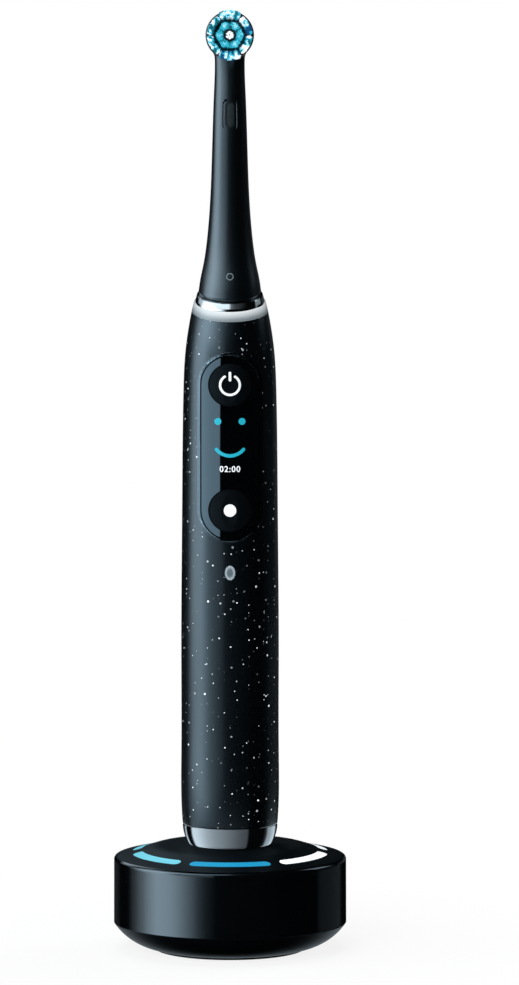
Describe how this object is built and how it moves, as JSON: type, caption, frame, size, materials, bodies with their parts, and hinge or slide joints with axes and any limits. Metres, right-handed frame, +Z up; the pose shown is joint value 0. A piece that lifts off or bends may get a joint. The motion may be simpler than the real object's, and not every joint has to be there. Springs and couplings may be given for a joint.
{
  "type": "electric toothbrush on charger",
  "caption": "Slim rechargeable toothbrush with a round oscillating head, standing on a round charging base with a lit ring of segments.",
  "frame": {"origin": "centre of the charging base's underside, on the table", "axes": "+Z up along the brush, the bristles and buttons face -Y, +X to the viewer's right"},
  "size_m": [0.0694, 0.0694, 0.2789],
  "materials": {
    "charger_gloss": "gloss moulded black plastic",
    "charger_under": "satin moulded black plastic",
    "foot_rubber": "matt black rubber",
    "light_blue": "lit translucent plastic, blue",
    "light_cyan": "lit translucent plastic, pale cyan",
    "light_white": "lit translucent plastic, white",
    "circuit_board": "green circuit board",
    "lamp": "small lamps",
    "ferrite": "dark sintered ferrite",
    "copper": "enamelled copper winding",
    "contact_metal": "plated contact metal",
    "steel": "plain steel",
    "magnet": "nickel plated magnet",
    "cell_wrap": "wrapped rechargeable cell",
    "handle_black": "satin black lacquer with fine pale speckles",
    "face_gloss": "gloss black window",
    "rim_gloss": "gloss black frame",
    "button_black": "matt black button",
    "lens_grey": "smoked lens",
    "silver_ring": "satin silver",
    "chrome_ring": "mirror chrome",
    "neck_glow": "translucent white light ring",
    "seal_rubber": "soft black rubber",
    "frame_grey": "grey moulded frame",
    "bearing_white": "white bearing plastic",
    "display_glass": "display module",
    "head_black": "satin black plastic",
    "insert_grey": "grey moulded plastic",
    "tuft_white": "white nylon bristles",
    "tuft_cyan": "cyan nylon bristles",
    "tuft_mixed": "white, cyan and blue nylon bristles"
  },
  "bodies": {
    "charger": {"charger_base": "charger_under", "charger_cover": "charger_gloss", "foot_ring": "foot_rubber", "base_light_front": "light_blue", "base_light_front_right": "light_white", "base_light_back_right": "light_white", "base_light_back": "light_white", "base_light_back_left": "light_cyan", "base_light_front_left": "light_cyan", "light_board": "circuit_board", "base_leds": "lamp", "charger_board": "circuit_board", "primary_core": "ferrite", "primary_coil": "copper", "power_inlet": "charger_under", "inlet_pins": "contact_metal", "base_screws": "steel"},
    "handle": {"base_cap": "charger_under", "base_seal": "seal_rubber", "receiver_coil": "copper", "receiver_core": "ferrite", "bottom_ring": "silver_ring", "handle_shell": "handle_black", "faceplate_rim": "rim_gloss", "faceplate": "face_gloss", "status_lens": "lens_grey", "power_dome": "seal_rubber", "mode_dome": "seal_rubber", "button_switches": "steel", "display": "display_glass", "main_board": "circuit_board", "chassis": "frame_grey", "battery": "cell_wrap", "motor_case": "steel", "motor_cap": "steel", "stator_coils": "copper", "lower_flexure": "steel", "upper_flexure": "steel", "neck_spigot": "head_black", "shaft_seal": "seal_rubber", "shaft_bearing": "bearing_white", "neck_lamps": "lamp", "neck_light_ring": "neck_glow", "chrome_ring": "chrome_ring"},
    "power_button": {"power_button": "button_black"},
    "mode_button": {"mode_button": "button_black"},
    "drive_shaft": {"drive_shaft": "steel", "armature_magnets": "magnet"},
    "brush_head": {"head_shell": "head_black", "head_insert": "insert_grey", "rod_guide": "bearing_white", "pivot_axle": "steel"},
    "drive_rod": {"drive_rod": "insert_grey"},
    "bristle_disc": {"bristle_disc": "head_black", "centre_tuft": "tuft_white", "inner_tufts": "tuft_cyan", "outer_tufts": "tuft_mixed"}
  },
  "joints": [
    {"name": "handle_lift", "type": "slide", "parent": "charger", "child": "handle", "axis": [0, 0, 1], "range_m": [0, 0.04]},
    {"name": "head_pull", "type": "slide", "parent": "handle", "child": "brush_head", "axis": [0, 0, 1], "range_m": [0, 0.035]},
    {"name": "power_press", "type": "slide", "parent": "handle", "child": "power_button", "axis": [0, 1, 0], "range_m": [0, 0.0005], "stiffness_N_per_m": 3000, "deforming": ["power_dome"]},
    {"name": "mode_press", "type": "slide", "parent": "handle", "child": "mode_button", "axis": [0, 1, 0], "range_m": [0, 0.0005], "stiffness_N_per_m": 3000, "deforming": ["mode_dome"]},
    {"name": "shaft_drive", "type": "slide", "parent": "handle", "child": "drive_shaft", "axis": [0, 0, 1], "range_m": [-0.0009, 0.0009], "stiffness_N_per_m": 7000, "deforming": ["lower_flexure", "upper_flexure"]},
    {"name": "rod_drive", "type": "slide", "parent": "brush_head", "child": "drive_rod", "axis": [0, 0, 1], "range_m": [-0.0009, 0.0009]},
    {"name": "disc_swing", "type": "hinge", "parent": "brush_head", "child": "bristle_disc", "pos_m": [0, 0, 0.2718], "axis": [0, 1, 0], "range_deg": [-14.37, 14.37]}
  ],
  "couplings": [
    {"joint": "rod_drive", "follows": "shaft_drive", "ratio": 1},
    {"joint": "disc_swing", "follows": "shaft_drive", "rad_per_m": -277.78}
  ]
}
